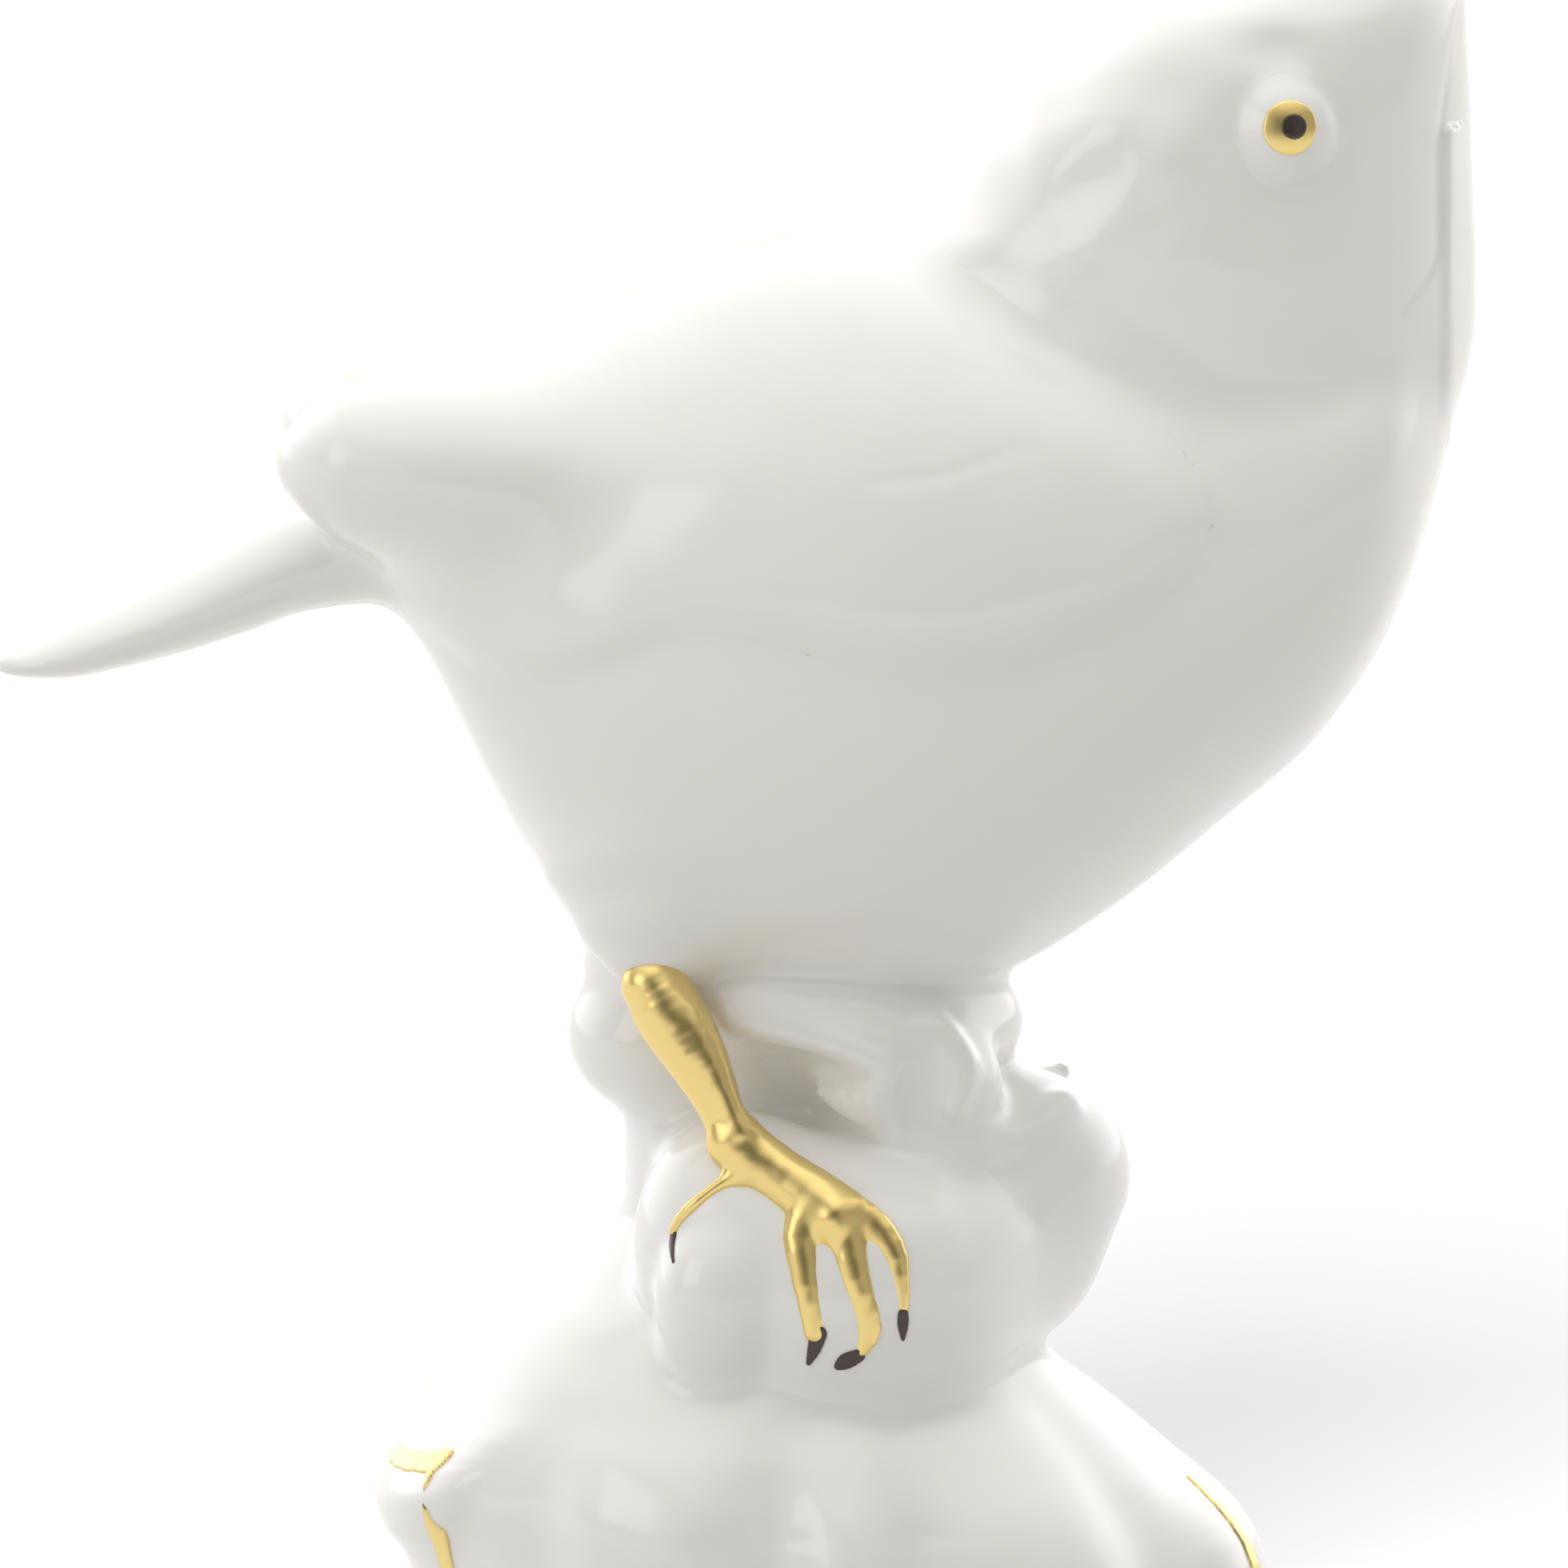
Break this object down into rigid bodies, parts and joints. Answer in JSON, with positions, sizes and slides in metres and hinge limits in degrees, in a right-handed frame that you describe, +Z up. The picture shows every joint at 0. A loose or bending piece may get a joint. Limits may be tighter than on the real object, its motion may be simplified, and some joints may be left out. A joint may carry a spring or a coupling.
{
  "type": "porcelain songbird figurine",
  "caption": "Glazed porcelain songbird looking up from a rock on a rocaille scroll base, with gilded legs, irises and scroll edges and dark enamel claws and pupils.",
  "frame": {"origin": "centre of the foot ring, on the surface that the figurine stands on", "axes": "+Z up, +X the way the bird faces, +Y to the bird's left, tail towards -X"},
  "size_m": [0.1125, 0.0832, 0.1469],
  "materials": {
    "glazed_porcelain": "clear gloss glaze over warm white porcelain",
    "burnished_gold": "burnished gold painted and fired on, with fine brush and agate streaks",
    "dark_enamel": "brown-black overglaze enamel, satin",
    "unglazed_bisque": "matt unglazed fired porcelain"
  },
  "bodies": {
    "root": {"base_mound": "glazed_porcelain", "front_scroll": "glazed_porcelain", "right_scroll": "glazed_porcelain", "back_scroll": "glazed_porcelain", "left_scroll": "glazed_porcelain", "rock_column": "glazed_porcelain", "right_boulder": "glazed_porcelain", "left_boulder": "glazed_porcelain", "bird_body": "glazed_porcelain", "bird_head": "glazed_porcelain", "upper_beak": "glazed_porcelain", "lower_beak": "glazed_porcelain", "right_wing": "glazed_porcelain", "left_wing": "glazed_porcelain", "tail": "glazed_porcelain", "right_eye": "glazed_porcelain", "left_eye": "glazed_porcelain", "front_gilt_line": "burnished_gold", "right_gilt_line": "burnished_gold", "back_gilt_line": "burnished_gold", "left_gilt_line": "burnished_gold", "right_leg": "burnished_gold", "left_leg": "burnished_gold", "right_iris": "burnished_gold", "left_iris": "burnished_gold", "right_claws": "dark_enamel", "left_claws": "dark_enamel", "right_pupil": "dark_enamel", "left_pupil": "dark_enamel", "foot_ring": "unglazed_bisque"}
  },
  "joints": []
}
